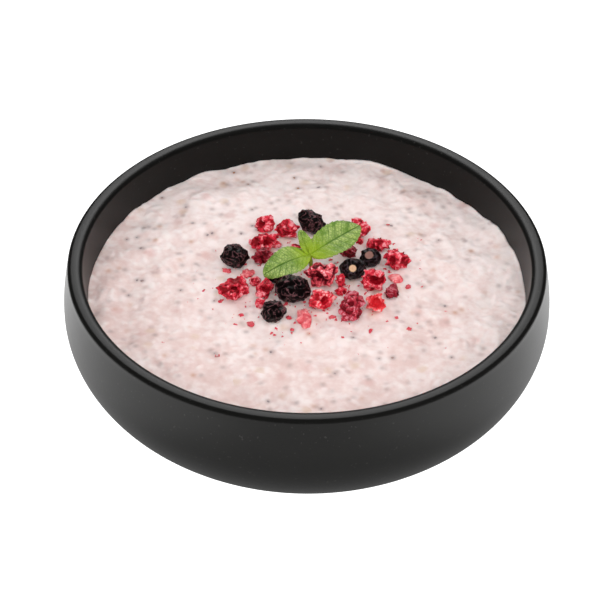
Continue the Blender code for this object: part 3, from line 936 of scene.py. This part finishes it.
berry_names = sorted(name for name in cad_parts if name.startswith("dark_berry"))
for number, name in enumerate(berry_names, 1):
    berry = fine_copy(name, name + "_skin", SKIN_VOXEL, SKIN_ROUNDS)
    scar = SCARS.get(name)
    middle = wrinkle_berry(berry, number, scar)
    if scar:
        axis = towards(*scar[:2])
        seat = max((vert.co for vert in berry.data.vertices),
                   key=lambda spot: (spot - middle).normalized().dot(axis))
        finish = berry_skin(name + "_finish", SLATE, 0.22, seat, scar)
    else:
        finish = berry_skin(name + "_finish", PLUM, 0.30)
    berry.data.materials.append(finish)
    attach(berry, "root")
    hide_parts(name)


# Raspberry pieces: broken freeze-dried raspberries. Their drupelets have sunk in and left sharp
# rims round deep hollows, crimson with chalky ridges; some pieces are maroon, some pale and flat.
# The ridges' pale tone is partly painted highlight, the pits, creases and hollows carry painted
# shade, and the pieces in the mint leaves' shade take a darker finish that is partly painted shade.

FLESH_VOXEL = 0.18 * MM
FLESH_ROUNDS = 8
DRUPELET = 2.9 * MM
FLESH_FOLD = 3.2 * MM
DEEPEST = 1.0 * MM
PIECE_SHIFT = Vector((0.031, -0.017, 0.023))

# Hollows in some pieces: azimuth and elevation in degrees, radius and depth in millimetres
HOLLOWS = {
    "raspberry_cup": ((-112, 14, 2.3, 2.8), (60, 60, 1.2, 0.8)),
    "raspberry_right_ring": ((-86, 38, 1.5, 1.8),),
    "raspberry_front_ring": ((-92, 36, 1.3, 1.6),),
    "raspberry_ring_left": ((-75, 42, 1.4, 1.4), (-160, 20, 1.0, 0.8)),
    "raspberry_back_left": ((-130, 22, 1.2, 1.2),),
    "raspberry_wing": ((70, 62, 1.5, 1.4), (-60, 25, 1.2, 1.0)),
    "raspberry_front_middle": ((-70, 30, 1.1, 1.1), (-140, 40, 0.9, 0.8)),
    "raspberry_tiers": ((-95, 58, 1.2, 1.2), (-100, 15, 1.1, 1.0)),
    "raspberry_cone": ((-120, 35, 1.2, 1.0),),
    "raspberry_left_of_middle": ((-80, 45, 1.0, 0.9),),
}


def press_hollows(shape, hollows):
    """Press hollows into a piece and note how far into them each point lies."""
    middle = middle_of(shape)
    depths = []
    for vert in shape.vertices:
        deepest = 0.0
        for azimuth, elevation, radius, depth in hollows:
            axis = towards(azimuth, elevation)
            arm = vert.co - middle
            if arm.dot(axis) > 0.0:
                beside = (arm - arm.dot(axis) * axis).length / (radius * MM)
                share = math.exp(-beside ** 3)
                vert.co -= axis * depth * MM * share
                deepest = max(deepest, share)
        depths.append(deepest)
    note_on(shape, "hollow", depths)


def line_at(recipe, noise_value, level, sharpness):
    """1 where a noise crosses the level, falling to 0 beside that line."""
    return recipe.math("MAXIMUM", 1.0 - abs(noise_value - level) * sharpness, 0.0)


def crumpled_recipe():
    """Shrinks a smooth piece into rims and hollows, and notes how high each point stands."""
    recipe = Recipe("crumpled", drupelet="Float", fold="Float", depth="Float", shift="Vector")
    drupelet = recipe.given("drupelet")
    fold = recipe.given("fold")
    moved = recipe.vector("ADD", recipe.add("GeometryNodeInputPosition"), recipe.given("shift"))
    swirl = recipe.noise(moved, 0.6 / drupelet, out="Color")
    warp = recipe.scaled(recipe.vector("SUBTRACT", swirl, (0.5, 0.5, 0.5)), 2.4 * drupelet)
    bent = recipe.vector("ADD", moved, warp)
    cells = recipe.add("ShaderNodeTexVoronoi", {"Vector": bent, "Scale": 1.0 / drupelet},
                       feature="F1", distance="MANHATTAN")
    crinkle = recipe.noise(bent, 3.0 / drupelet)
    crease = line_at(recipe, recipe.noise(bent, 2.1 / drupelet), 0.5, 8.0)
    ridge = line_at(recipe, recipe.noise(bent, 1.0 / fold), 0.5, 6.5)
    cut = line_at(recipe, recipe.noise(moved, 0.9 / fold, distortion=0.6), 0.44, 7.5)
    form = recipe.math("SMOOTH_MIN", 0.22 + 0.74 * cells - 0.62 * cut + 0.14 * ridge, 0.88, 0.30)
    # The creases and the pressed hollows are noted lower than they stand, so the finish paints shade into
    # them.
    height = form + 0.20 * ridge - 0.30 * crease + 0.24 * (crinkle - 0.5)
    height = height - 0.8 * recipe.noted("hollow", "FLOAT")
    rise = (form - 0.14 * crease - 0.62) * recipe.given("depth")
    shift = recipe.scaled(recipe.add("GeometryNodeInputNormal"), rise)
    dressed = recipe.note(recipe.given("Geometry"), "relief", height)
    recipe.close(recipe.add("GeometryNodeSetPosition", {"Geometry": dressed, "Offset": shift}))
    return recipe


# The body, crests and pits of each kind of flesh, and how chalky its crests are. The crest tones are partly
# chalk and partly painted highlight, and the pit tones are partly darker red and partly painted shade.
FLESH_TONES = {
    "crimson": ((0.70, 0.023, 0.050), (0.94, 0.36, 0.40), (0.23, 0.001, 0.006), 0.85),
    "bright": ((0.80, 0.034, 0.060), (0.98, 0.46, 0.46), (0.40, 0.002, 0.010), 0.9),
    "rosy": ((0.95, 0.11, 0.12), (1.0, 0.60, 0.56), (0.66, 0.02, 0.03), 0.9),
    "maroon": ((0.48, 0.026, 0.050), (0.76, 0.28, 0.34), (0.16, 0.001, 0.007), 0.8),
    # A darker crimson, partly painted shade, for the pieces that lie in the mint leaves' shade.
    "deep": ((0.30, 0.010, 0.024), (0.62, 0.18, 0.22), (0.09, 0.001, 0.004), 0.8),
    "chalky": ((0.80, 0.075, 0.105), (0.98, 0.52, 0.54), (0.11, 0.001, 0.005), 0.95),
    "pale": ((0.90, 0.19, 0.21), (0.99, 0.50, 0.48), (0.68, 0.07, 0.09), 0.8),
}
# The pieces that aren't crimson
FLESH_KINDS = {
    "maroon": ("raspberry_tiers",),
    # These pieces lie in the mint leaves' shade, and their darker finish is partly painted shade.
    "deep": ("raspberry_right_dark", "raspberry_under_leaf", "raspberry_dark_left"),
    "rosy": ("raspberry_front_ring",),
    "bright": ("raspberry_front_middle",),
    "chalky": ("raspberry_cup",),
    "pale": ("raspberry_flake_front", "raspberry_flake_right", "raspberry_flake_left"),
}
finishes = {kind: dried_raspberry(kind + "_raspberry", *tones) for kind, tones in FLESH_TONES.items()}
kinds = {name: kind for kind, names in FLESH_KINDS.items() for name in names}
crumpled = crumpled_recipe()
raspberry_names = sorted(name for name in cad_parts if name.startswith("raspberry"))
for number, name in enumerate(raspberry_names, 1):
    blank = fine_copy(name, name + "_blank", FLESH_VOXEL, FLESH_ROUNDS)
    shape = blank.data
    bpy.data.objects.remove(blank)
    press_hollows(shape, HOLLOWS.get(name, ()))
    low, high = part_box(name)
    piece = crumpled.make(name + "_flesh", shape, drupelet=DRUPELET, fold=FLESH_FOLD,
                          depth=min(0.25 * min(high - low), DEEPEST), shift=PIECE_SHIFT * number,
                          finish=finishes[kinds.get(name, "crimson")])
    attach(piece, "root")
    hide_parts(name)


# Mint: the tip of a sprig with two large leaves and a small folded one. The blades are quilted
# between their veins and toothed at the edge, and turn yellow-green where they part.

MINT_NODE = Vector((0.9 * MM, 6.3 * MM, 9.3 * MM + PUDDING_LEVEL))
STEM_FOOT = (1.6 * MM, 8.6 * MM)
STEM_RADIUS = 0.8 * MM
STEM_SINK = 0.3 * MM
STEM_SIDES = 24
STEM_LEVELS = 20
LEAF_THICKNESS = 0.38 * MM
VEIN_PAIRS = 8
VEIN_SLANT = 0.17
TEETH = 11
TOOTH = 0.07
QUILT = 0.34 * MM

# Each leaf's tip in millimetres from the middle of the dish and the pudding's level, which way it
# faces, its width, arch and fold in millimetres, and its stations along and across
LEAVES = (
    ((-14.6, -1.0, 6.2), (0.1, -0.35, 0.94), 10.3, 2.0, 0.4, 150, 60),
    ((17.9, 18.2, 12.5), (0.0, -0.45, 0.89), 11.6, 0.9, 0.5, 170, 64),
    ((-2.6, 11.8, 15.4), (0.5, -0.8, 0.3), 4.6, -0.5, 1.2, 80, 36),
)


def leaf_width(along):
    """Half width of a mint leaf as a share of its widest, from its base at 0 to its tip at 1."""
    body = math.sin(math.pi * along ** 0.93) ** 0.52
    return max(body, 0.10 * (1.0 - along) + 0.04)


def blade_point(leaf, along, out, lift):
    """A point of the blade, from its base to its tip and from edge to edge."""
    tip, up, width, arch, fold = leaf[:5]
    spine = Vector(tip) * MM + Vector((0.0, 0.0, PUDDING_LEVEL)) - MINT_NODE
    direction = spine.normalized()
    up = Vector(up)
    face = (up - up.dot(direction) * direction).normalized()
    side = face.cross(direction)
    saw = (TEETH * along) % 1.0
    tooth = 1.0 + TOOTH * (saw - 0.5) * abs(out) ** 6 * min(1.0, 8.0 * along)
    half = 0.5 * width * MM * leaf_width(along) * tooth
    rise = arch * 4.0 * along * (1.0 - along) + fold * abs(out) * leaf_width(along)
    wave = 0.05 * width * math.sin(9.0 * along + 2.0 * out) * abs(out)
    phase = VEIN_PAIRS * (along - VEIN_SLANT * abs(out))
    swell = abs(math.sin(math.pi * phase)) ** 0.6 * math.sin(math.pi * min(abs(out) * 1.02, 1.0)) ** 0.6
    rib = math.exp(-(out / 0.07) ** 2)
    quilt = QUILT * (swell * min(1.0, leaf_width(along) * 1.4) - 0.8 * rib) * min(width / 10.0, 1.0)
    spot = MINT_NODE + spine * along + side * (half * out) + face * ((rise + wave) * MM + quilt)
    return spot + face * lift * (1.0 - 0.6 * abs(out) ** 4)


def add_blade(corners, faces, spots, leaf):
    """Add a leaf's upper and lower faces and its edge, with each corner's place on the blade."""
    stations, columns = leaf[5:]
    start = len(corners)
    layer = (stations + 1) * (columns + 1)
    for lift in (0.5 * LEAF_THICKNESS, -0.5 * LEAF_THICKNESS):
        for i in range(stations + 1):
            for j in range(columns + 1):
                along, out = i / stations, 2.0 * j / columns - 1.0
                corners.append(blade_point(leaf, along, out, lift))
                spots.append((along * min(1.0, leaf[2] / 10.0), 0.5 + 0.5 * out))
    for i in range(stations):
        for j in range(columns):
            a = start + i * (columns + 1) + j
            b, c, d = a + columns + 1, a + columns + 2, a + 1
            faces.append((a, b, c, d))
            faces.append((a + layer, d + layer, c + layer, b + layer))
    border = [(i, 0) for i in range(stations)] + [(stations, j) for j in range(columns)]
    border += [(i, columns) for i in range(stations, 0, -1)] + [(0, j) for j in range(columns, 0, -1)]
    for (i, j), (k, m) in zip(border, border[1:] + border[:1]):
        a = start + i * (columns + 1) + j
        b = start + k * (columns + 1) + m
        faces.append((b, a, a + layer, b + layer))


def add_stem(corners, faces, spots):
    """Add the short stem from the pudding up to where the leaves part."""
    foot = Vector((*STEM_FOOT, surface_at(*STEM_FOOT) - STEM_SINK))
    spine = MINT_NODE - foot
    upright = spine.to_track_quat("Z", "Y").to_matrix()
    start = len(corners)
    for level in range(STEM_LEVELS + 1):
        share = level / STEM_LEVELS
        radius = STEM_RADIUS * (0.85 + 0.15 * math.cos(3.0 * math.pi * share))
        for step in range(STEM_SIDES):
            turn = 2.0 * math.pi * step / STEM_SIDES
            # A mint stem is square with rounded corners
            square = 1.0 + 0.12 * math.cos(4.0 * turn)
            arm = Vector((math.cos(turn), math.sin(turn), 0.0)) * radius * square
            corners.append(foot + spine * share + upright @ arm)
            spots.append((0.0, 0.3))
    for level in range(STEM_LEVELS):
        row = start + level * STEM_SIDES
        for step in range(STEM_SIDES):
            a = row + step
            b = row + (step + 1) % STEM_SIDES
            faces.append((a, b, b + STEM_SIDES, a + STEM_SIDES))
    faces.append(tuple(start + step for step in range(STEM_SIDES - 1, -1, -1)))
    faces.append(tuple(start + STEM_LEVELS * STEM_SIDES + step for step in range(STEM_SIDES)))


def mint_green():
    """Fresh mint: bright green, with painted shade darkening its sunk veins, yellow-green at the base."""
    leaf = Finish("mint_green", IOR=1.42, Subsurface_Weight=0.10, Subsurface_Scale=1.0,
                  Subsurface_Radius=(0.5 * MM, 0.8 * MM, 0.2 * MM))
    spot = leaf.add("ShaderNodeUVMap", uv_map="blade")
    along = leaf.part(spot, 0)
    out = abs(leaf.part(spot, 1) * 2.0 - 1.0)
    cloud = leaf.grain(3.2 * MM, detail=3.0)
    cells = leaf.add("ShaderNodeTexVoronoi", {"Vector": leaf.place, "Scale": 1.0 / (0.95 * MM)},
                     feature="DISTANCE_TO_EDGE")
    phase = (along - out * VEIN_SLANT) * (VEIN_PAIRS * math.pi)
    vein = 1.0 - leaf.step(abs(leaf.math("SINE", phase)), 0.02, 0.34)
    rib = 1.0 - leaf.step(out, 0.02, 0.10)
    net = 1.0 - leaf.step(cells, 0.0, 0.22)
    # Painted shade: the sunk veins, the midrib and the fine net between them are darkened.
    painted_vein_shade = leaf.math("MAXIMUM", leaf.math("MAXIMUM", vein * 0.85, rib * 0.9), net * 0.60)
    green = leaf.blend(leaf.step(cloud, 0.30, 0.70), (0.155, 0.270, 0.036), (0.44, 0.55, 0.160))
    green = leaf.blend(painted_vein_shade * 0.92, green, (0.050, 0.145, 0.008))
    base = 1.0 - leaf.step(along, 0.05, 0.48)
    green = leaf.blend(base * 0.85, green, (0.28, 0.41, 0.004))
    leaf.feed("Base Color", green)
    leaf.feed("Roughness", 0.36 + 0.25 * cloud)
    leaf.relief(leaf.step(cells, 0.0, 0.35) + cloud, 0.16 * MM, 0.9)
    return leaf.material


corners, faces, spots = [], [], []
for leaf in LEAVES:
    add_blade(corners, faces, spots, leaf)
add_stem(corners, faces, spots)
mint_mesh = mesh_of("mint_tip", corners, faces)
blade_map = mint_mesh.uv_layers.new(name="blade")
for loop in mint_mesh.loops:
    blade_map.data[loop.index].uv = spots[loop.vertex_index]
mint_mesh.materials.append(mint_green())
mint = linked("mint_tip", mint_mesh)
merge_points(mint.data, 2.0 * POLE_RADIUS)
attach(mint, "root")
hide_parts("mint_sprig")
